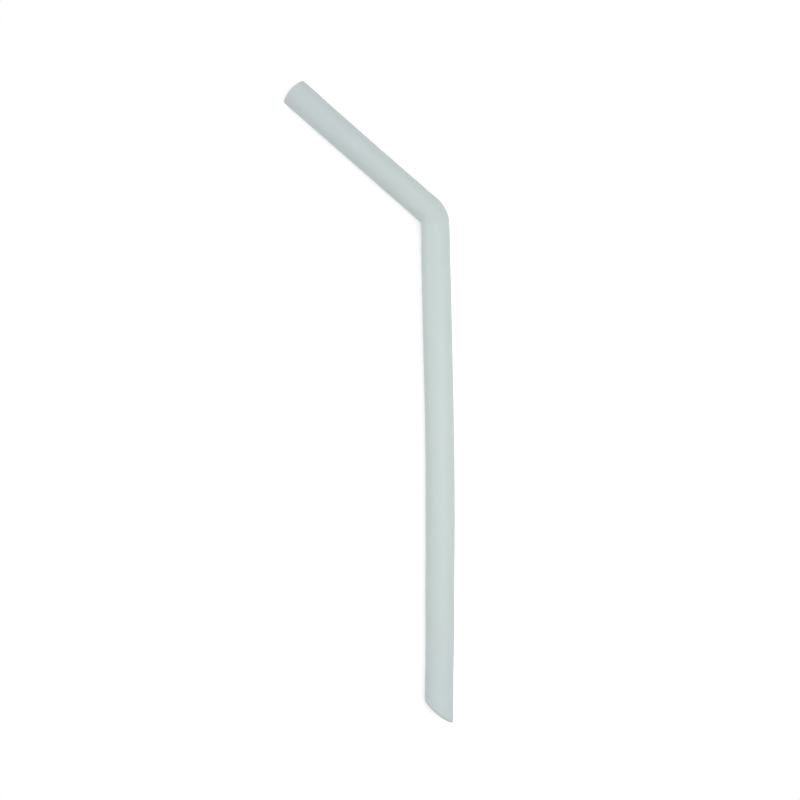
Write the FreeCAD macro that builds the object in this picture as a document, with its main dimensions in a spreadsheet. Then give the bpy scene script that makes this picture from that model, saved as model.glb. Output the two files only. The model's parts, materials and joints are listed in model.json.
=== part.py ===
"""Silicone drinking straw: one hollow tube, bent near the mouth and cut at a slant at the foot.

The straw lies flat, as it rests on a table. Its axis is in one level plane, half a diameter
above the floor. The foot points along -Y, and the mouth leans away from +Y towards -X.
The origin is on the floor, under the middle of the straw's bounding box.
"""

import FreeCAD, Part
import math
import os

import Sketcher

NODE = "straw"
OUT_FOLDER = "parts"

# Driving dimensions, in millimetres and degrees: (alias, value, what it is).
SIZES = (
    ("outer_diameter", 10.0, "outside of the tube"),
    ("wall", 1.25, "thickness of the tube's wall"),
    ("lower_stem", 58.0, "straight tube from the foot's point to the bow"),
    ("bow_length", 60.5, "axis of the gently bowed stretch"),
    ("bow_turn", 1.7, "angle that the bow turns the stem"),
    ("upper_stem", 53.4, "straight tube from the bow to the bend"),
    ("bend_turn", 47.5, "angle that the bend turns the tube"),
    ("bend_inside", 1.65, "radius of the bend's inner corner"),
    ("mouth_leg", 61.8, "straight tube from the bend to the mouth's rim"),
    ("foot_slant", 37.5, "angle of the foot's cut, from square"),
    ("mouth_lip", 0.8, "rounding of the mouth's outer edge"),
    ("foot_lip", 0.6, "rounding of the foot's outer edge"),
    ("bore_lip", 0.3, "rounding of the bore's edge at both ends"),
)

# Sizes that follow from those above: (alias, formula, what it is).
FOLLOWING = (
    ("outer_radius", "=outer_diameter / 2", "outside of the tube, from its axis"),
    ("bore_radius", "=outer_radius - wall", "inside of the tube, from its axis"),
    ("bow_radius", "=bow_length * 180 / (pi * bow_turn)", "axis of the bow"),
    ("bend_radius", "=outer_radius + bend_inside", "axis of the bend"),
    ("cutter_reach", "=outer_diameter", "foot's cutter, from the axis to either side"),
    (
        "cutter_drop",
        "=(cutter_reach - outer_radius) * tan(foot_slant * 1deg)",
        "foot's cutter, below the foot's point",
    ),
    ("lip_limit", "=0.7 * wall", "the largest outer lip that leaves room for the bore's"),
    ("mouth_round", "=min(mouth_lip; lip_limit)", "mouth's outer lip, kept within the wall"),
    ("foot_round", "=min(foot_lip; lip_limit)", "foot's outer lip, kept within the wall"),
    ("bore_round", "=min(bore_lip; wall - lip_limit)", "bore's lip, kept within the wall"),
)

# Names for the numbers that Sketcher uses for a curve's points, and for its own origin and axis.
START, END, CENTRE = 1, 2, 3
SKETCH_ORIGIN = (-1, 1)
SKETCH_Y_AXIS = -2

UP = FreeCAD.Vector(0, 0, 1)
CLOSE = 1e-4  # two sizes nearer than this are the same, in millimetres
VOLUME_CLOSE = 0.01  # share of the volume that the lips may take away


def add_sizes(doc):
    """Make the spreadsheet that every feature reads, with one size in each row."""
    sheet = doc.addObject("Spreadsheet::Sheet", "Sizes")
    for row, (alias, value, meaning) in enumerate(SIZES + FOLLOWING, start=1):
        sheet.set(f"A{row}", alias)
        sheet.set(f"B{row}", str(value))
        sheet.setAlias(f"B{row}", alias)
        sheet.set(f"C{row}", meaning)
    doc.recompute()
    return sheet


def new_sketch(body, name, role):
    """Make an empty sketch on one of the body's own origin planes."""
    sketch = body.newObject("Sketcher::SketchObject", name)
    plane = next(f for f in body.Origin.OriginFeatures if f.Role == role)
    sketch.AttachmentSupport = (plane, [""])
    sketch.MapMode = "FlatFace"
    return sketch


def tie(sketch, kind, *where):
    """Add a constraint that has no size."""
    sketch.addConstraint(Sketcher.Constraint(kind, *where))


def bind(sketch, kind, where, value, alias, unit=""):
    """Add a dimension, and bind it to its size in the spreadsheet."""
    index = sketch.addConstraint(Sketcher.Constraint(kind, *where, value))
    sketch.renameConstraint(index, alias)
    sketch.setExpression(f"Constraints.{alias}", f"Sizes.{alias}{unit}")


class Walker:
    """Lays lines and left-hand arcs end to end, from the origin towards +Y."""

    def __init__(self):
        self.place = FreeCAD.Vector(0, 0, 0)
        self.heading = math.pi / 2

    def line(self, length):
        """Walk straight ahead."""
        ahead = FreeCAD.Vector(math.cos(self.heading), math.sin(self.heading), 0)
        start = self.place
        self.place = start + ahead * length
        return Part.LineSegment(start, self.place)

    def arc(self, radius, degrees):
        """Walk round a circle whose centre is on the left."""
        left = FreeCAD.Vector(-math.sin(self.heading), math.cos(self.heading), 0)
        circle = Part.Circle(self.place + left * radius, UP, radius)
        first = self.heading - math.pi / 2
        last = first + math.radians(degrees)
        self.heading += math.radians(degrees)
        self.place = circle.value(last)
        return Part.ArcOfCircle(circle, first, last)


def draw_axis(body, sheet):
    """Draw the tube's axis from the foot to the mouth, and return it with the mouth's centre."""
    sketch = new_sketch(body, "TubeAxis", "XY_Plane")
    walk = Walker()
    lower = sketch.addGeometry(walk.line(sheet.lower_stem))
    bow = sketch.addGeometry(walk.arc(sheet.bow_radius, sheet.bow_turn))
    upper = sketch.addGeometry(walk.line(sheet.upper_stem))
    bend = sketch.addGeometry(walk.arc(sheet.bend_radius, sheet.bend_turn))
    mouth = sketch.addGeometry(walk.line(sheet.mouth_leg))

    tie(sketch, "Coincident", lower, START, *SKETCH_ORIGIN)
    tie(sketch, "Vertical", lower)
    for before, after in ((lower, bow), (bow, upper), (upper, bend), (bend, mouth)):
        tie(sketch, "Tangent", before, END, after, START)
    bind(sketch, "Distance", (lower,), sheet.lower_stem, "lower_stem")
    bind(sketch, "Distance", (upper,), sheet.upper_stem, "upper_stem")
    bind(sketch, "Distance", (mouth,), sheet.mouth_leg, "mouth_leg")
    bind(sketch, "Radius", (bow,), sheet.bow_radius, "bow_radius")
    bind(sketch, "Radius", (bend,), sheet.bend_radius, "bend_radius")
    bind(sketch, "Angle", (bow,), math.radians(sheet.bow_turn), "bow_turn", " * 1deg")
    bind(sketch, "Angle", (bend,), math.radians(sheet.bend_turn), "bend_turn", " * 1deg")
    return sketch, walk.place


def draw_ring(body, sheet, name, alias):
    """Draw a circle round the foot's end of the axis, square to the axis."""
    sketch = new_sketch(body, name, "XZ_Plane")
    radius = getattr(sheet, alias)
    ring = sketch.addGeometry(Part.Circle(FreeCAD.Vector(0, 0, 0), UP, radius))
    tie(sketch, "Coincident", ring, CENTRE, *SKETCH_ORIGIN)
    bind(sketch, "Radius", (ring,), radius, alias)
    return sketch


def draw_cutter(body, sheet):
    """Draw the right-angled triangle that the foot's slanting cut takes away.

    Its long side passes through the foot's point, on the +X side of the tube.
    """
    sketch = new_sketch(body, "FootCutter", "XY_Plane")
    reach, drop = sheet.cutter_reach, sheet.cutter_drop
    rise = 2 * reach * math.tan(math.radians(sheet.foot_slant))
    low_left = FreeCAD.Vector(-reach, -drop, 0)
    low_right = FreeCAD.Vector(reach, -drop, 0)
    high_left = FreeCAD.Vector(-reach, rise - drop, 0)
    base = sketch.addGeometry(Part.LineSegment(low_left, low_right))
    slant = sketch.addGeometry(Part.LineSegment(low_right, high_left))
    side = sketch.addGeometry(Part.LineSegment(high_left, low_left))

    for before, after in ((base, slant), (slant, side), (side, base)):
        tie(sketch, "Coincident", before, END, after, START)
    tie(sketch, "Symmetric", base, START, base, END, SKETCH_Y_AXIS)
    tie(sketch, "Vertical", side)
    bind(sketch, "DistanceX", (*SKETCH_ORIGIN, base, END), reach, "cutter_reach")
    bind(sketch, "DistanceY", (base, END, *SKETCH_ORIGIN), drop, "cutter_drop")
    angle = math.radians(sheet.foot_slant)
    bind(sketch, "Angle", (slant, START, base, END), angle, "foot_slant", " * 1deg")
    return sketch


def sweep(body, kind, name, ring, axis):
    """Sweep a ring along the axis, to add a rod to the body or to bore it out."""
    feature = body.newObject(kind, name)
    feature.Profile = ring
    feature.Spine = (axis, [])
    return feature


def cut_foot(body, sheet):
    """Cut the foot off at a slant, right through the tube."""
    cutter = draw_cutter(body, sheet)
    feature = body.newObject("PartDesign::Pocket", "FootCut")
    feature.Profile = cutter
    feature.Type = "ThroughAll"
    feature.Midplane = True
    return feature


def edges_where(shape, is_wanted):
    """Name the edges of a shape whose curves pass a test."""
    return [f"Edge{i}" for i, edge in enumerate(shape.Edges, start=1) if is_wanted(edge.Curve)]


def foot_edges(shape, radius):
    """Name the oval edges that the slanting cut leaves on a wall of this radius."""
    return edges_where(
        shape,
        lambda curve: isinstance(curve, Part.Ellipse) and abs(curve.MinorRadius - radius) < CLOSE,
    )


def mouth_edges(shape, radius, centre):
    """Name the round edges of the mouth on a wall of this radius."""
    return edges_where(
        shape,
        lambda curve: isinstance(curve, Part.Circle)
        and abs(curve.Radius - radius) < CLOSE
        and curve.Center.distanceToPoint(centre) < CLOSE,
    )


def round_edges(body, name, base, edges, alias):
    """Round some edges of the last feature, and return the new last feature."""
    if not edges:
        raise RuntimeError(f"{name} found no edge to round")
    feature = body.newObject("PartDesign::Fillet", name)
    feature.Base = (base, edges)
    feature.setExpression("Radius", f"Sizes.{alias}")
    body.Document.recompute()
    return feature


def round_lips(body, sheet, base, mouth_centre):
    """Round both edges of the foot and both edges of the mouth."""
    outside, inside = sheet.outer_radius, sheet.bore_radius
    tip = round_edges(body, "FootLip", base, foot_edges(base.Shape, outside), "foot_round")
    tip = round_edges(body, "FootBoreLip", tip, foot_edges(tip.Shape, inside), "bore_round")
    rim = mouth_edges(tip.Shape, outside, mouth_centre)
    tip = round_edges(body, "MouthLip", tip, rim, "mouth_round")
    rim = mouth_edges(tip.Shape, inside, mouth_centre)
    return round_edges(body, "MouthBoreLip", tip, rim, "bore_round")


def lay_down(body, sheet):
    """Put the origin on the floor, under the middle of the straw's bounding box."""
    box = body.Shape.optimalBoundingBox(False, False)
    middle = FreeCAD.Vector(-box.Center.x, -box.Center.y, sheet.outer_radius)
    body.Placement = FreeCAD.Placement(middle, FreeCAD.Rotation())


def build_straw(doc, sheet):
    """Build the straw as one body: a rod along the axis, bored out, cut at the foot, rounded."""
    body = doc.addObject("PartDesign::Body", "Straw")
    body.Label = NODE
    axis, mouth_centre = draw_axis(body, sheet)
    outside = draw_ring(body, sheet, "TubeOutside", "outer_radius")
    sweep(body, "PartDesign::AdditivePipe", "Tube", outside, axis)
    inside = draw_ring(body, sheet, "TubeInside", "bore_radius")
    bore = sweep(body, "PartDesign::SubtractivePipe", "Bore", inside, axis)
    doc.recompute()
    foot = cut_foot(body, sheet)
    doc.recompute()
    check_volume("the bore", bore.Shape.Volume, ring_area(sheet) * axis.Shape.Length)
    check_volume("the foot's cut", bore.Shape.Volume - foot.Shape.Volume, cut_volume(sheet))
    body.Tip = round_lips(body, sheet, foot, mouth_centre)
    doc.recompute()
    check_volume("the lips", body.Shape.Volume, foot.Shape.Volume)
    lay_down(body, sheet)
    doc.recompute()
    return body


def ring_area(sheet):
    """Work out the area of the tube's section."""
    return math.pi * (sheet.outer_radius**2 - sheet.bore_radius**2)


def cut_volume(sheet):
    """Work out the silicone that the slanting cut takes: half of a piece as long as its rise."""
    rise = sheet.outer_diameter * math.tan(math.radians(sheet.foot_slant))
    return ring_area(sheet) * rise / 2


def check_volume(what, got, expected):
    """Stop if a volume is not the one that the sizes give."""
    if abs(got - expected) > VOLUME_CLOSE * expected:
        raise RuntimeError(f"{what}: the volume is {got:.1f} mm3, and {expected:.1f} was expected")


def check_document(doc, body):
    """Stop if any object failed, or if the straw is not one valid solid."""
    failed = [o.Label for o in doc.Objects if {"Invalid", "Error"} & set(o.State)]
    if failed:
        raise RuntimeError(f"these objects failed: {failed}")
    shape = body.Shape
    if shape.isNull() or not shape.isValid() or len(shape.Solids) != 1:
        raise RuntimeError(f"{body.Label} is not one valid solid")


def main():
    """Build the straw, check it, and write it."""
    doc = FreeCAD.newDocument("SiliconeStraw")
    sheet = add_sizes(doc)
    body = build_straw(doc, sheet)
    check_document(doc, body)
    os.makedirs(OUT_FOLDER, exist_ok=True)
    body.Shape.exportStep(os.path.join(OUT_FOLDER, f"{body.Label}.step"))
    box = body.Shape.optimalBoundingBox(False, False)
    print(f"{body.Label}: {box.XLength:.2f} x {box.YLength:.2f} x {box.ZLength:.2f} mm")
    print(f"volume {body.Shape.Volume:.1f} mm3")


main()
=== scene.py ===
"""Looks of the silicone drinking straw: one soft, hollow, bent tube that lies on a pale floor.

The tube is made by a Geometry Nodes tree. The wall's section is a closed loop with rounded lips, the loop is
turned into a straight tube, the foot and the mouth are cut, and the tube is laid along its axis.
Lengths are metres and angles are radians, unless a name says otherwise.
"""

import json
import logging
import math
from dataclasses import dataclass, field
from enum import Enum

import bpy
from mathutils import Matrix, Vector


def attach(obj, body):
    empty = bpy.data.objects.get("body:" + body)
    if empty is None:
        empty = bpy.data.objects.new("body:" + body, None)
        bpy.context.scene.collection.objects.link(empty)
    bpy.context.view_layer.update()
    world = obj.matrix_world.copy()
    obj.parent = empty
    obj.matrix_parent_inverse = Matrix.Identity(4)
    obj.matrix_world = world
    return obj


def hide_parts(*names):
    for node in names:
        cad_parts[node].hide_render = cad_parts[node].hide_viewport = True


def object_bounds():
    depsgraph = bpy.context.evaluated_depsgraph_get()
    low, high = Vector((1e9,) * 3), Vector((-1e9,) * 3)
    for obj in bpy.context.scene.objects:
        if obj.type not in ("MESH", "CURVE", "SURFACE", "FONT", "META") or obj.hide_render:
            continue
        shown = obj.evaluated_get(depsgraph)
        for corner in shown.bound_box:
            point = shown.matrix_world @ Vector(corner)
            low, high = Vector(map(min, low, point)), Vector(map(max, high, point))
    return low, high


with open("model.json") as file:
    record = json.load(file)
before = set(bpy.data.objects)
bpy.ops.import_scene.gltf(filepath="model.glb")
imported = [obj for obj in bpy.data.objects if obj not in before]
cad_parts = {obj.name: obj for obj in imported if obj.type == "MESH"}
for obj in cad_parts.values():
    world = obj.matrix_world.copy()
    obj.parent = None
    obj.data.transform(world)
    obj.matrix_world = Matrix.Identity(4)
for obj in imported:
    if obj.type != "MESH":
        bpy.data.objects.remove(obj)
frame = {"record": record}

CAD_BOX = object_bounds()
RECORD = frame["record"]

MM = 0.001
WHITE = (1.0, 1.0, 1.0, 1.0)
# The mark of the painted shade at the foot's cut edge, where its rounded lip faces away from the light.
PAINTED_FOOT_SHADE = "trimmed_edge"

Colour = tuple[float, float, float]
Stops = tuple[tuple[float, Colour], ...]

logging.basicConfig(level=logging.INFO, format="%(message)s")
log = logging.getLogger("straw")


# -----------------------------------------------------------------------------------------------------------
# Node trees written as formulas
# -----------------------------------------------------------------------------------------------------------


class Kind(Enum):
    """What a socket carries, and the sort of node that works on it."""

    NUMBER = "ShaderNodeMath"
    VECTOR = "ShaderNodeVectorMath"


class Term:
    """A node's output that is used in a formula as a number or a vector is."""

    def __init__(self, board: "Board", socket: bpy.types.NodeSocket, kind: Kind = Kind.NUMBER) -> None:
        """Wraps an output.

        Args:
            board: The tree that the output belongs to.
            socket: The output.
            kind: Whether it carries a number or a vector.
        """
        self.board = board
        self.socket = socket
        self.kind = kind

    def _math(self, operation: str, *operands: "Term | float") -> "Term":
        """Adds one Math or Vector Math node.

        Args:
            operation: The node's operation.
            operands: Its inputs, in order.

        Returns:
            The node's result.
        """
        node = self.board.node(self.kind.value, {"operation": operation}, dict(enumerate(operands)))
        return Term(self.board, node.outputs[0], self.kind)

    def __add__(self, other: "Term | float") -> "Term":
        """The sum."""
        return self._math("ADD", self, other)

    __radd__ = __add__

    def __sub__(self, other: "Term | float") -> "Term":
        """The difference."""
        return self._math("SUBTRACT", self, other)

    def __rsub__(self, other: float) -> "Term":
        """The difference from a plain number."""
        return self._math("SUBTRACT", other, self)

    def __mul__(self, other: "Term | float") -> "Term":
        """Multiplies by a number, which scales a vector.

        Args:
            other: The number.

        Returns:
            The product.
        """
        if self.kind is Kind.NUMBER:
            return self._math("MULTIPLY", self, other)
        node = self.board.node(self.kind.value, {"operation": "SCALE"}, {"Vector": self, "Scale": other})
        return Term(self.board, node.outputs["Vector"], Kind.VECTOR)

    __rmul__ = __mul__

    def __truediv__(self, other: "Term | float") -> "Term":
        """The quotient."""
        return self._math("DIVIDE", self, other)

    def __rtruediv__(self, other: float) -> "Term":
        """The quotient of a plain number."""
        return self._math("DIVIDE", other, self)

    def __pow__(self, other: "Term | float") -> "Term":
        """The power."""
        return self._math("POWER", self, other)

    def __rpow__(self, other: float) -> "Term":
        """The power of a plain number."""
        return self._math("POWER", other, self)

    def __gt__(self, other: "Term | float") -> "Term":
        """One where this is the greater, else nought."""
        return self._math("GREATER_THAN", self, other)

    def __lt__(self, other: "Term | float") -> "Term":
        """One where this is the less, else nought."""
        return self._math("LESS_THAN", self, other)

    def tangent(self) -> "Term":
        """The tangent of an angle."""
        return self._math("TANGENT", self)

    def exponential(self) -> "Term":
        """The natural exponential."""
        return self._math("EXPONENT", self)

    def floor(self) -> "Term":
        """The whole number below."""
        return self._math("FLOOR", self)

    def at_least(self, least: "Term | float") -> "Term":
        """This, or the least where that is more."""
        return self._math("MAXIMUM", self, least)

    def at_most(self, most: "Term | float") -> "Term":
        """This, or the most where that is less."""
        return self._math("MINIMUM", self, most)

    def length(self) -> "Term":
        """The length of a vector."""
        node = self.board.node(self.kind.value, {"operation": "LENGTH"}, {0: self})
        return Term(self.board, node.outputs["Value"])

    def cross(self, other: "Term") -> "Term":
        """The cross product of two vectors."""
        return self._math("CROSS_PRODUCT", self, other)

    def distance(self, other: "Term") -> "Term":
        """The distance between two points."""
        node = self.board.node(self.kind.value, {"operation": "DISTANCE"}, {0: self, 1: other})
        return Term(self.board, node.outputs["Value"])

    def unit(self) -> "Term":
        """The vector at a length of one."""
        return self._math("NORMALIZE", self)

    def parts(self) -> "tuple[Term, Term, Term]":
        """The vector's three numbers."""
        node = self.board.node("ShaderNodeSeparateXYZ", {}, {"Vector": self})
        return tuple(Term(self.board, output) for output in node.outputs)

    def bump(self, middle: "Term | float", reach: "Term | float") -> "Term":
        """A smooth hill of height one.

        Args:
            middle: Where the hill stands.
            reach: How far from its middle it has sunk to about a third.

        Returns:
            The hill's height for this number.
        """
        away = (self - middle) / reach
        return (away * away * -1.0).exponential()


def fill_ramp(ramp: bpy.types.ColorRamp, stops: Stops) -> None:
    """Gives a ramp its colours, which run smoothly from one to the next.

    Args:
        ramp: A new ramp, with two stops.
        stops: The colours, each with its place on the ramp.
    """
    ramp.interpolation = "EASE"
    for _ in stops[2:]:
        ramp.elements.new(1.0)
    for element, (position, colour) in zip(ramp.elements, stops):
        element.position = position
        element.color = (*colour, 1.0)


class Board:
    """A node tree, with the one method that adds nodes to it."""

    def __init__(self, tree: bpy.types.NodeTree) -> None:
        """Empties a tree.

        Args:
            tree: The tree to write in.
        """
        self.tree = tree
        self.tree.nodes.clear()

    def node(self, kind: str, settings: dict[str, object] | None = None,
             inputs: dict[str | int, object] | None = None) -> bpy.types.Node:
        """Adds a node.

        Args:
            kind: The node's type.
            settings: Its properties, set before its sockets. A colour ramp's are its stops.
            inputs: A value, a Term or an output for each input, by name or number.

        Returns:
            The node.
        """
        made = self.tree.nodes.new(kind)
        for name, value in (settings or {}).items():
            if name == "stops":
                fill_ramp(made.color_ramp, value)
            else:
                setattr(made, name, value)
        for key, value in (inputs or {}).items():
            source = value.socket if isinstance(value, Term) else value
            if isinstance(source, bpy.types.NodeSocket):
                self.tree.links.new(source, made.inputs[key])
            else:
                made.inputs[key].default_value = source
        return made

    def term(self, kind: str, settings: dict[str, object] | None = None,
             inputs: dict[str | int, object] | None = None, output: str | int = 0,
             carries: Kind = Kind.NUMBER) -> Term:
        """Adds a node and takes one of its outputs into a formula.

        Args:
            kind: The node's type.
            settings: Its properties.
            inputs: Its inputs, as for node.
            output: The output's name or number.
            carries: Whether the output is a number or a vector.

        Returns:
            The output.
        """
        return Term(self, self.node(kind, settings, inputs).outputs[output], carries)


# -----------------------------------------------------------------------------------------------------------
# Finishes
# -----------------------------------------------------------------------------------------------------------


@dataclass(frozen=True)
class Silicone:
    """Soft, matt, faintly cloudy silicone rubber, whose tone drifts a little from the foot to the mouth,
    partly as painted shade.

    Attributes:
        tones: The rubber's colour at places along the straw, each with its share of the way from end to end;
            partly painted shade, darker at the foot and in the leg past the bend where less light falls, and
            bluer towards both ends.
        cloud: How much paler its clouds are.
        cloud_size: How far one cloud is from the next.
        cloud_detail: How many finer layers the clouds have.
        trim: How much darker the foot's cut edge is painted, as painted shade where its rounded lip faces
            away from the light.
        roughness: The smoothest and the dullest that the skin is.
        scatter: How much of the light wanders inside the wall.
        depth: How far it wanders, for each colour.
        index: The refractive index.
        grain_size: How far one grain of the skin is from the next.
        grain_detail: How many finer layers the grain has.
        grain_height: How high the grains are.
    """

    # Partly painted shade: darker at the foot and in the leg past the bend, where less light falls; bluer
    # towards both ends.
    tones: Stops = (
        (0.02, (0.544, 0.612, 0.613)),
        (0.25, (0.553, 0.625, 0.610)),
        (0.75, (0.553, 0.625, 0.610)),
        (0.84, (0.541, 0.612, 0.606)),
        (0.98, (0.565, 0.621, 0.632)),
    )
    cloud: float = 0.035
    cloud_size: float = 9.0 * MM
    cloud_detail: float = 3.0
    # Painted shade: the foot's cut edge is painted darker, where its rounded lip faces away from the light.
    trim: float = 0.17
    roughness: tuple[float, float] = (0.46, 0.58)
    scatter: float = 0.5
    depth: Colour = (0.76 * MM, 0.80 * MM, 0.78 * MM)
    index: float = 1.41
    grain_size: float = 0.22 * MM
    grain_detail: float = 2.0
    grain_height: float = 0.006 * MM

    def make(self) -> bpy.types.Material:
        """Builds the material.

        Returns:
            The material, for the tube's slot.
        """
        material = bpy.data.materials.new("silicone")
        material.use_nodes = True
        board = Board(material.node_tree)
        place = board.term("ShaderNodeTexCoord", output="Object", carries=Kind.VECTOR)
        clouds = self.noise(board, place, self.cloud_size, self.cloud_detail)
        grain = self.noise(board, place, self.grain_size, self.grain_detail)
        smoothest, dullest = self.roughness
        raised = board.node("ShaderNodeBump", {}, {"Height": grain, "Distance": self.grain_height})
        skin = board.node("ShaderNodeBsdfPrincipled", {}, {
            "Base Color": self.colour(board, place, clouds),
            "Roughness": clouds * (dullest - smoothest) + smoothest,
            "Normal": raised.outputs["Normal"],
            "IOR": self.index,
            "Subsurface Weight": self.scatter,
            "Subsurface Radius": self.depth,
            "Subsurface Scale": 1.0,
        })
        board.node("ShaderNodeOutputMaterial", {}, {"Surface": skin.outputs["BSDF"]})
        return material

    def noise(self, board: Board, place: Term, size: float, detail: float) -> Term:
        """Adds a soft random pattern.

        Args:
            board: The material's tree.
            place: The place on the straw.
            size: How far one patch is from the next.
            detail: How many finer layers lie on it.

        Returns:
            The pattern, from nought to one.
        """
        return board.term("ShaderNodeTexNoise", {}, {"Vector": place, "Scale": 1.0 / size, "Detail": detail})

    def colour(self, board: Board, place: Term, clouds: Term) -> Term:
        """Works out the colour from its change along the straw, which is partly painted shade, the clouds and
        the painted shade at the foot's cut edge.

        Args:
            board: The material's tree.
            place: The place on the straw.
            clouds: How cloudy it is there, from nought to one.

        Returns:
            The colour.
        """
        foot, mouth = CAD_BOX[0].y, CAD_BOX[1].y
        along = (place.parts()[1] - foot) / (mouth - foot)
        # The colour along the straw, partly painted shade where less light falls.
        tone_and_shade_drift = board.term("ShaderNodeValToRGB", {"stops": self.tones}, {"Fac": along}, carries=Kind.VECTOR)
        # Painted shade: the foot's cut edge is painted darker, where its rounded lip faces away from the
        # light.
        foot_shade = board.term("ShaderNodeAttribute", {"attribute_name": PAINTED_FOOT_SHADE}, output="Fac")
        return tone_and_shade_drift * ((clouds * self.cloud + 1.0) * (1.0 - foot_shade * self.trim))


def seen_rays(board: Board) -> Term:
    """Tells the rays that show a surface, straight or in a gloss or a glass, from those that carry its light.

    Args:
        board: The tree of a floor, a backdrop or a world.

    Returns:
        One for a camera, glossy or transmission ray, else nought.
    """
    path = board.node("ShaderNodeLightPath")
    camera, glossy, through = (
        Term(board, path.outputs[name]) for name in ("Is Camera Ray", "Is Glossy Ray", "Is Transmission Ray"))
    return camera.at_least(glossy).at_least(through)


@dataclass(frozen=True)
class PaleFloor:
    """A plain pale floor that looks white and keeps the straw's shadow.

    Attributes:
        colour: The floor's own colour, which lights the straw from below.
        lift: How much brighter it looks than it is.
        shadow_reach: How far out it still shows its own light and shadow.
        fade: How far beyond that it turns plain white.
    """

    colour: Colour = (0.80, 0.80, 0.80)
    lift: float = 0.47
    shadow_reach: float = 125.0 * MM
    fade: float = 60.0 * MM

    def make(self) -> bpy.types.Material:
        """Builds the material.

        Returns:
            The material, for the floor's slot.
        """
        material = bpy.data.materials.new("pale_floor")
        material.use_nodes = True
        board = Board(material.node_tree)
        seen = seen_rays(board)
        place = board.term("ShaderNodeTexCoord", output="Object", carries=Kind.VECTOR)
        away = ((place.length() - self.shadow_reach) / self.fade).at_least(0.0).at_most(1.0)
        matt = board.node("ShaderNodeBsdfDiffuse", {}, {"Color": (*self.colour, 1.0)})
        glow = board.node("ShaderNodeEmission", {}, {"Color": WHITE, "Strength": seen * self.lift})
        near = board.node("ShaderNodeAddShader", {}, {0: matt.outputs[0], 1: glow.outputs[0]})
        far = board.node("ShaderNodeEmission", {}, {"Color": WHITE, "Strength": 1.0})
        floor = board.node("ShaderNodeMixShader", {}, {0: away * seen, 1: near.outputs[0], 2: far.outputs[0]})
        board.node("ShaderNodeOutputMaterial", {}, {"Surface": floor.outputs[0]})
        return material


# -----------------------------------------------------------------------------------------------------------
# The straw
# -----------------------------------------------------------------------------------------------------------


def mount(name: str) -> dict:
    """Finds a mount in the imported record.

    Args:
        name: The mount's name.

    Returns:
        The mount's row.
    """
    return next(row for row in RECORD["mounts"] if row["name"] == name)


@dataclass(frozen=True)
class Axis:
    """The line through the middle of the tube: straight, bowed, straight, bent, straight.

    Attributes:
        lower_stem: The straight run from the foot's point.
        bow_length: The length of the gently bowed run.
        bow_turn: How far the bow turns.
        upper_stem: The straight run below the bend.
        bend_turn: How far the bend turns.
        bend_radius: The bend's radius at the axis.
        mouth_leg: The straight run from the bend to the mouth.
        resolution: The steps that each run is drawn in.
    """

    lower_stem: float = 58.0 * MM
    bow_length: float = 60.5 * MM
    bow_turn: float = math.radians(1.7)
    upper_stem: float = 53.4 * MM
    bend_turn: float = math.radians(47.5)
    bend_radius: float = 6.65 * MM
    mouth_leg: float = 61.8 * MM
    resolution: int = 64

    @property
    def bend_start(self) -> float:
        """How far along the axis the bend starts."""
        return self.lower_stem + self.bow_length + self.upper_stem

    @property
    def bend_middle(self) -> float:
        """How far along the axis the middle of the bend is."""
        return self.bend_start + self.bend_radius * self.bend_turn / 2.0

    @property
    def length(self) -> float:
        """The axis's whole length."""
        return self.bend_start + self.bend_radius * self.bend_turn + self.mouth_leg

    def runs(self) -> list[tuple[float, float]]:
        """Lists the runs from the foot.

        Returns:
            For each run, its length and how far it turns to the left.
        """
        return [
            (self.lower_stem, 0.0),
            (self.bow_length, self.bow_turn),
            (self.upper_stem, 0.0),
            (self.bend_radius * self.bend_turn, self.bend_turn),
            (self.mouth_leg, 0.0),
        ]

    def knots(self) -> list[tuple[Vector, Vector, float, float]]:
        """Walks the runs from a foot at the origin, heading along +Y.

        Returns:
            For each end of a run: its place, its heading, and how far its handles reach back and ahead.
        """
        place, heading, behind = Vector((0.0, 0.0, 0.0)), Vector((0.0, 1.0, 0.0)), 0.0
        found = []
        for length, turn in self.runs():
            if turn:
                radius = length / turn
                # With this reach the two handles follow an arc.
                reach = 4.0 / 3.0 * math.tan(turn / 4.0) * radius
                chord = 2.0 * radius * math.sin(turn / 2.0)
                step = Matrix.Rotation(turn / 2.0, 3, "Z") @ heading * chord
            else:
                reach, step = length / 3.0, heading * length
            found.append((place, heading, behind, reach))
            place, heading, behind = place + step, Matrix.Rotation(turn, 3, "Z") @ heading, reach
        return [*found, (place, heading, behind, behind)]

    def draw(self) -> bpy.types.Object:
        """Draws the axis as a curve whose mouth end is where the record's mount says.

        Returns:
            The curve's object, in the scene.
        """
        knots = self.knots()
        rim = mount("mouth_outside")
        leg_start = Vector(rim["pos_m"]) - Vector(rim["axis"]) * rim["dims"]["length_mm"] * MM
        shift = leg_start - knots[-2][0]
        curve = bpy.data.curves.new("straw_axis", "CURVE")
        curve.dimensions = "3D"
        curve.resolution_u = self.resolution
        spline = curve.splines.new("BEZIER")
        spline.bezier_points.add(len(knots) - 1)
        for point, (place, heading, behind, ahead) in zip(spline.bezier_points, knots):
            point.handle_left_type = point.handle_right_type = "FREE"
            point.co = place + shift
            point.handle_left = point.co - heading * behind
            point.handle_right = point.co + heading * ahead
        holder = bpy.data.objects.new("straw_axis", curve)
        bpy.context.scene.collection.objects.link(holder)
        return holder


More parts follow.
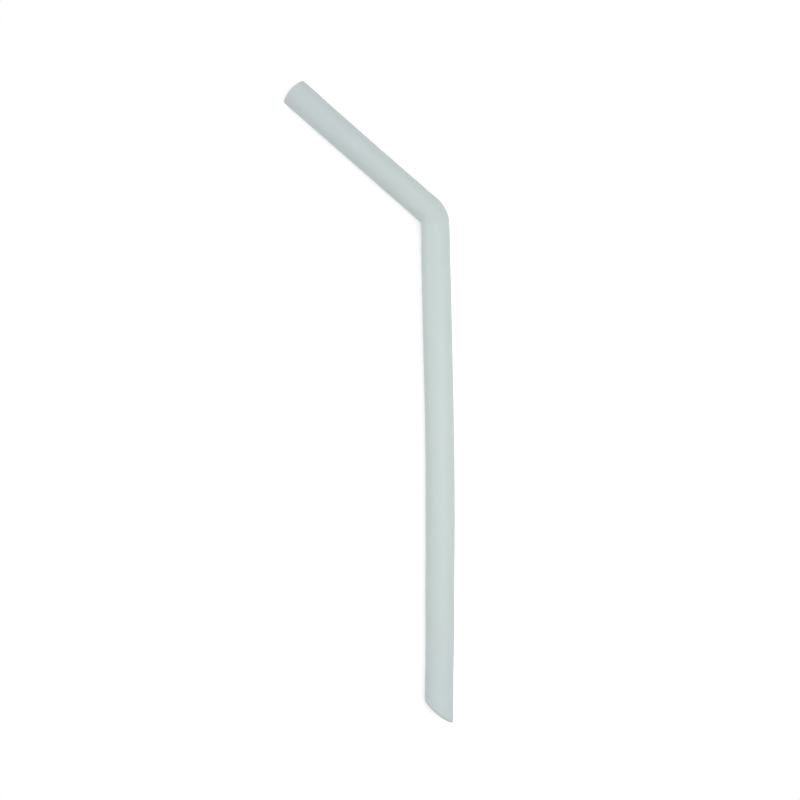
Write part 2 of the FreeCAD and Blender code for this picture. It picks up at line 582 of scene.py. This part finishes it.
@dataclass(frozen=True)
class Shape:
    """The tube's own sizes, apart from its axis. Each is a named input of the tube's tree.

    Attributes:
        outer_radius: The outside's radius.
        wall: The wall's thickness.
        length: The tube's length along its axis.
        foot_slant: How far the foot's cut is from square.
        foot_crown: How far the middle of the foot's cut stands out.
        mouth_slant: How far the mouth's cut is from square.
        mouth_lip: The rounding of the mouth's outer edge.
        foot_lip: The rounding of the foot's outer edge.
        bore_lip: The rounding of the bore's two edges.
        ring_step: The length of a face along the tube.
        cut_reach: How far from an end its cut is spread over the rings.
        trim_reach: How far from the foot's end the painted shade at its cut edge reaches.
    """

    outer_radius: float
    wall: float
    length: float
    foot_slant: float = math.radians(37.5)
    foot_crown: float = 0.12 * MM
    mouth_slant: float = math.radians(3.5)
    mouth_lip: float = 0.8 * MM
    foot_lip: float = 0.5 * MM
    bore_lip: float = 0.3 * MM
    ring_step: float = 0.5 * MM
    cut_reach: float = 16.0 * MM
    # The painted shade at the foot's cut edge reaches this far.
    trim_reach: float = 1.25 * MM


@dataclass(frozen=True)
class Swell:
    """A stretch where the soft tube is a little wider, narrower or to one side. Its height stays as it is.

    Its sizes are inputs of the tube's tree too, under the swell's name and their own names.

    Attributes:
        at: How far along the axis its middle is.
        reach: How far from its middle it has sunk to about a third.
        widen: How far each side stands out, or in where it is less than nought.
        lean: How far both sides stand to the right of the axis, for someone who looks from the foot.
    """

    at: float
    reach: float
    widen: float = 0.0
    lean: float = 0.0


@dataclass(frozen=True)
class Fold:
    """The shallow dent that the rubber takes up at the inside of the bend, with a low roll on each side.

    Its sizes are inputs of the tube's tree too, under "fold" and their own names.

    Attributes:
        at: How far along the axis its middle is.
        depth: How deep the dent is.
        reach: How far along the axis it has sunk to about a third of that.
        roll: How high the rolls beside it are.
        roll_reach: How far along the axis they reach.
        gather: How closely the dent keeps to the inside of the bend: the power of its share round the tube.
    """

    at: float
    depth: float = 0.16 * MM
    reach: float = 1.3 * MM
    roll: float = 0.10 * MM
    roll_reach: float = 3.6 * MM
    gather: float = 4.0


def soft_shape(axis: Axis) -> dict[str, Swell]:
    """The unevenness of the soft tube, from the foot to the mouth.

    Args:
        axis: The line that the tube follows.

    Returns:
        The stretches where the tube isn't quite even, by name.
    """
    slim_middle = axis.bend_start + 31.0 * MM
    return {
        "heel": Swell(at=5.0 * MM, reach=7.0 * MM, lean=-0.08 * MM),
        "waist": Swell(at=20.0 * MM, reach=10.0 * MM, widen=-0.11 * MM),
        "sway": Swell(at=30.0 * MM, reach=11.0 * MM, lean=0.09 * MM),
        "belly": Swell(at=74.0 * MM, reach=14.0 * MM, widen=0.05 * MM),
        "upper_belly": Swell(at=140.0 * MM, reach=20.0 * MM, widen=0.035 * MM),
        "throat": Swell(at=axis.bend_start - 3.0 * MM, reach=5.0 * MM, widen=-0.06 * MM, lean=0.06 * MM),
        "slim_leg": Swell(at=slim_middle, reach=24.0 * MM, widen=-0.09 * MM, lean=-0.04 * MM),
        "flare": Swell(at=axis.length - 5.0 * MM, reach=5.0 * MM, widen=0.03 * MM, lean=0.09 * MM),
    }


@dataclass(frozen=True)
class Straw:
    """The one-piece silicone straw.

    Attributes:
        axis: The line that the tube follows.
        finish: The rubber that it is made of.
        around: The faces round the tube.
        lip_steps: The faces across one rounded edge.
    """

    axis: Axis = field(default_factory=Axis)
    finish: Silicone = field(default_factory=Silicone)
    around: int = 72
    lip_steps: int = 8

    def sizes(self) -> dict[str, float]:
        """Gathers the sizes of the tube, its fold and its swells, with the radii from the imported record.

        Returns:
            Each size by its name as an input of the tube's tree.
        """
        outside = mount("mouth_outside")["dims"]["r_mm"] * MM
        bore = mount("mouth_bore")["dims"]["r_mm"] * MM
        tube = Shape(outer_radius=outside, wall=outside - bore, length=self.axis.length)
        found = dict(vars(tube))
        for part, row in {"fold": Fold(at=self.axis.bend_middle), **soft_shape(self.axis)}.items():
            found.update({f"{part}_{name}": value for name, value in vars(row).items()})
        return found

    def tree(self, sizes: dict[str, float],
             material: bpy.types.Material) -> tuple[bpy.types.NodeTree, dict[str, str]]:
        """Builds the tree that turns the axis into the tube.

        Args:
            sizes: The sizes, which name the tree's inputs.
            material: What the tube is made of.

        Returns:
            The tree, and each input's identifier by its name.
        """
        tree = bpy.data.node_groups.new("tube_along_axis", "GeometryNodeTree")
        tree.interface.new_socket("Axis", in_out="INPUT", socket_type="NodeSocketGeometry")
        identifiers = {}
        for name in sizes:
            socket = tree.interface.new_socket(name, in_out="INPUT", socket_type="NodeSocketFloat")
            identifiers[name] = socket.identifier
        tree.interface.new_socket("Tube", in_out="OUTPUT", socket_type="NodeSocketGeometry")
        board = Board(tree)
        given = board.node("NodeGroupInput")
        size = {name: Term(board, given.outputs[name]) for name in sizes}
        straight = self.straight_tube(board, size)
        laid = self.lay_along(board, size, straight, given.outputs["Axis"])
        smooth = board.node("GeometryNodeSetShadeSmooth", {}, {"Geometry": laid})
        real = board.node("GeometryNodeRealizeInstances", {}, {"Geometry": smooth.outputs[0]})
        dressed = board.node("GeometryNodeSetMaterial", {}, {
            "Geometry": real.outputs[0],
            "Material": material,
        })
        board.node("NodeGroupOutput", {}, {"Tube": dressed.outputs[0]})
        return tree, identifiers

    def straight_tube(self, board: Board, size: dict[str, Term]) -> bpy.types.NodeSocket:
        """Turns the wall's section into a straight tube along Z, with its middle at the origin.

        Args:
            board: The tree.
            size: The tree's inputs.

        Returns:
            The mesh.
        """
        section = board.node("GeometryNodeCurvePrimitiveQuadrilateral", {}, {
            "Width": size["wall"],
            "Height": size["length"],
        })
        place = board.term("GeometryNodeInputPosition", carries=Kind.VECTOR)
        across, along, _ = place.parts()
        outside, mouth = across > 0.0, along > 0.0
        outer_lip = size["foot_lip"] + mouth * (size["mouth_lip"] - size["foot_lip"])
        lip = size["bore_lip"] + outside * (outer_lip - size["bore_lip"])
        rounded = board.node("GeometryNodeFilletCurve", {"mode": "POLY"}, {
            "Curve": section.outputs[0],
            "Count": self.lip_steps,
            "Radius": lip,
            "Limit Radius": True,
        })
        following = board.node("GeometryNodeOffsetPointInCurve", {}, {"Offset": 1})
        next_place = board.term(
            "GeometryNodeFieldAtIndex",
            {"data_type": "FLOAT_VECTOR", "domain": "POINT"},
            {"Index": following.outputs["Point Index"], "Value": place},
            carries=Kind.VECTOR,
        )
        cuts = (place.distance(next_place) / size["ring_step"]).floor()
        ringed = board.node("GeometryNodeSubdivideCurve", {}, {"Curve": rounded.outputs[0], "Cuts": cuts})
        circle = board.node("GeometryNodeCurvePrimitiveCircle", {"mode": "RADIUS"}, {
            "Resolution": self.around,
            "Radius": size["outer_radius"] - size["wall"] / 2.0,
        })
        turned = board.node("GeometryNodeCurveToMesh", {}, {
            "Curve": circle.outputs["Curve"],
            "Profile Curve": ringed.outputs[0],
        })
        outward = board.node("GeometryNodeFlipFaces", {}, {"Mesh": turned.outputs[0]})
        return outward.outputs[0]

    def lay_along(self, board: Board, size: dict[str, Term], tube: bpy.types.NodeSocket,
                  axis: bpy.types.NodeSocket) -> bpy.types.NodeSocket:
        """Cuts the straight tube's ends and lays it along the axis.

        Args:
            board: The tree.
            size: The tree's inputs.
            tube: The straight tube.
            axis: The line that it follows.

        Returns:
            The mesh.
        """
        sideways, upward, along = board.term("GeometryNodeInputPosition", carries=Kind.VECTOR).parts()
        length = size["length"]
        station = along + length / 2.0
        # Marks the foot's cut edge for the painted shade there, where its rounded lip faces away from the
        # light.
        marked = board.node("GeometryNodeStoreNamedAttribute", {"data_type": "FLOAT", "domain": "POINT"}, {
            "Geometry": tube,
            "Name": PAINTED_FOOT_SHADE,
            "Value": station.bump(0.0, size["trim_reach"]),
        })
        near_foot = (1.0 - station / size["cut_reach"]).at_least(0.0)
        near_mouth = (1.0 - (length - station) / size["cut_reach"]).at_least(0.0)
        across = sideways / size["outer_radius"]
        foot_cut = (size["outer_radius"] - sideways) * size["foot_slant"].tangent()
        foot_cut = foot_cut - (1.0 - across * across) * size["foot_crown"]
        mouth_cut = sideways * size["mouth_slant"].tangent()
        station = station + foot_cut * near_foot - mouth_cut * near_mouth
        sideways, upward = self.soften(size, station, sideways, upward)
        sample = board.node("GeometryNodeSampleCurve", {"mode": "LENGTH"}, {
            "Curves": axis,
            "Length": station,
        })
        middle = Term(board, sample.outputs["Position"], Kind.VECTOR)
        heading = Term(board, sample.outputs["Tangent"], Kind.VECTOR)
        up = board.term("ShaderNodeCombineXYZ", {}, {"Z": 1.0}, carries=Kind.VECTOR)
        side = heading.cross(up).unit()
        moved = board.node("GeometryNodeSetPosition", {}, {
            "Geometry": marked.outputs[0],
            "Position": middle + side * sideways + up * upward,
        })
        return moved.outputs[0]

    def soften(self, size: dict[str, Term], station: Term, sideways: Term, upward: Term) -> tuple[Term, Term]:
        """Gives the even tube its fold and its unevenness.

        Args:
            size: The tree's inputs.
            station: How far along the axis a point is.
            sideways: How far it is to the right of the axis.
            upward: How far it is above the axis.

        Returns:
            The two distances on the soft tube.
        """
        radius = size["outer_radius"]
        inside = ((1.0 - sideways / radius) / 2.0).at_least(0.0) ** size["fold_gather"]
        dent = station.bump(size["fold_at"], size["fold_reach"]) * size["fold_depth"]
        rolls = station.bump(size["fold_at"], size["fold_roll_reach"]) * size["fold_roll"]
        drawn_in = (rolls - dent) * inside / radius + 1.0
        sideways, upward = sideways * drawn_in, upward * drawn_in
        hills = {
            name: station.bump(size[f"{name}_at"], size[f"{name}_reach"])
            for name in soft_shape(self.axis)
        }
        widened = sum(hill * size[f"{name}_widen"] for name, hill in hills.items())
        leaning = sum(hill * size[f"{name}_lean"] for name, hill in hills.items())
        return sideways * (widened / radius + 1.0) + leaning, upward

    def build(self) -> bpy.types.Object:
        """Builds the tube, dresses it and puts it on the frame.

        Returns:
            The tube.
        """
        sizes = self.sizes()
        line = self.axis.draw()
        tree, identifiers = self.tree(sizes, self.finish.make())
        modifier = line.modifiers.new("tube_along_axis", "NODES")
        modifier.node_group = tree
        for name, value in sizes.items():
            modifier[identifiers[name]] = value
        depsgraph = bpy.context.evaluated_depsgraph_get()
        mesh = bpy.data.meshes.new_from_object(line.evaluated_get(depsgraph))
        mesh.name = "silicone_tube"
        tube = bpy.data.objects.new("silicone_tube", mesh)
        bpy.context.scene.collection.objects.link(tube)
        bpy.data.objects.remove(line)
        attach(tube, "root")
        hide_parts("straw")
        return tube


# -----------------------------------------------------------------------------------------------------------
# The stage
# -----------------------------------------------------------------------------------------------------------


@dataclass(frozen=True)
class Lamp:
    """A square soft lamp that faces the straw.

    Attributes:
        name: The lamp's name.
        tilt: How far it hangs from straight above.
        side: Which way that is: nought is +X, a quarter turn is +Y.
        away: How far it is from the straw.
        width: The length of its side.
        power: Its power in watts.
    """

    name: str
    tilt: float
    side: float
    away: float
    width: float
    power: float

    def hang(self) -> bpy.types.Object:
        """Hangs the lamp, out of the camera's sight.

        Returns:
            The lamp's object.
        """
        flat = self.away * math.sin(self.tilt)
        height = self.away * math.cos(self.tilt)
        place = Vector((flat * math.cos(self.side), flat * math.sin(self.side), height))
        data = bpy.data.lights.new(self.name, "AREA")
        data.shape = "SQUARE"
        data.size = self.width
        data.energy = self.power
        lamp = bpy.data.objects.new(self.name, data)
        lamp.location = place
        lamp.rotation_mode = "QUATERNION"
        lamp.rotation_quaternion = (-place).to_track_quat("-Z", "Y")
        lamp.visible_camera = False
        bpy.context.scene.collection.objects.link(lamp)
        return lamp


def lamps() -> list[Lamp]:
    """Chooses the lamps.

    Returns:
        A soft box close above the right side, a low one at the left and a weak one past the mouth.
    """
    key = Lamp("key", tilt=math.radians(24.0), side=math.radians(-6.0), away=0.38, width=0.26, power=0.86)
    low = Lamp("low", tilt=math.radians(75.0), side=math.radians(166.0), away=1.2, width=0.5, power=3.9)
    back = Lamp("back", tilt=math.radians(47.0), side=math.pi / 2.0, away=1.2, width=0.5, power=1.55)
    return [key, low, back]


@dataclass(frozen=True)
class Studio:
    """A plain pale floor, soft light and the camera above.

    Attributes:
        floor_width: How wide the floor is.
        floor: The floor's finish.
        surround: How strong the light from all round is.
        camera_height: How far the camera is above the tube's axis.
        camera_aside: How far the view's middle is from the middle of the straw's box, along X and Y.
        camera_turn: How far the camera is turned about the line of sight.
        lens_mm: The lens's focal length.
        sensor_mm: The sensor's width.
    """

    floor_width: float = 8.0
    floor: PaleFloor = field(default_factory=PaleFloor)
    surround: float = 0.42
    camera_height: float = 344.5 * MM
    camera_aside: tuple[float, float] = (10.6 * MM, 0.56 * MM)
    camera_turn: float = math.radians(0.37)
    lens_mm: float = 45.0
    sensor_mm: float = 36.0

    def build_floor(self) -> bpy.types.Object:
        """Lays the floor under the straw.

        Returns:
            The floor.
        """
        half = self.floor_width / 2.0
        corners = [(-half, -half, 0.0), (half, -half, 0.0), (half, half, 0.0), (-half, half, 0.0)]
        mesh = bpy.data.meshes.new("floor")
        mesh.from_pydata(corners, [], [(0, 1, 2, 3)])
        mesh.materials.append(self.floor.make())
        floor = bpy.data.objects.new("floor", mesh)
        bpy.context.scene.collection.objects.link(floor)
        return floor

    def light(self) -> list[bpy.types.Object]:
        """Sets the plain view and the light from all round, which looks white, and hangs the lamps.

        Returns:
            The lamps.
        """
        world = bpy.data.worlds.new("studio")
        world.use_nodes = True
        board = Board(world.node_tree)
        strength = seen_rays(board) * (1.0 - self.surround) + self.surround
        glow = board.node("ShaderNodeBackground", {}, {"Color": WHITE, "Strength": strength})
        board.node("ShaderNodeOutputWorld", {}, {"Surface": glow.outputs[0]})
        bpy.context.scene.world = world
        bpy.context.scene.view_settings.view_transform = "Standard"
        return [lamp.hang() for lamp in lamps()]

    def build_camera(self) -> bpy.types.Object:
        """Hangs the camera over the straw, looking straight down.

        Returns:
            The camera.
        """
        low, high = CAD_BOX
        middle = (low + high) / 2.0
        data = bpy.data.cameras.new("camera")
        data.lens = self.lens_mm
        data.sensor_width = self.sensor_mm
        camera = bpy.data.objects.new("camera", data)
        camera.location = middle + Vector((*self.camera_aside, self.camera_height))
        camera.rotation_euler = (0.0, 0.0, self.camera_turn)
        bpy.context.scene.collection.objects.link(camera)
        bpy.context.scene.camera = camera
        return camera


def main() -> None:
    """Builds the straw, the floor, the light and the camera."""
    straw = Straw().build()
    log.info("%s: %d faces", straw.name, len(straw.data.polygons))
    studio = Studio()
    floor = studio.build_floor()
    log.info("%s: %.1f m wide", floor.name, studio.floor_width)
    for lamp in studio.light():
        log.info("%s: %.2f W", lamp.name, lamp.data.energy)
    camera = studio.build_camera()
    log.info("%s: %.0f mm up", camera.name, camera.location.z / MM)


if __name__ == "__main__":
    main()
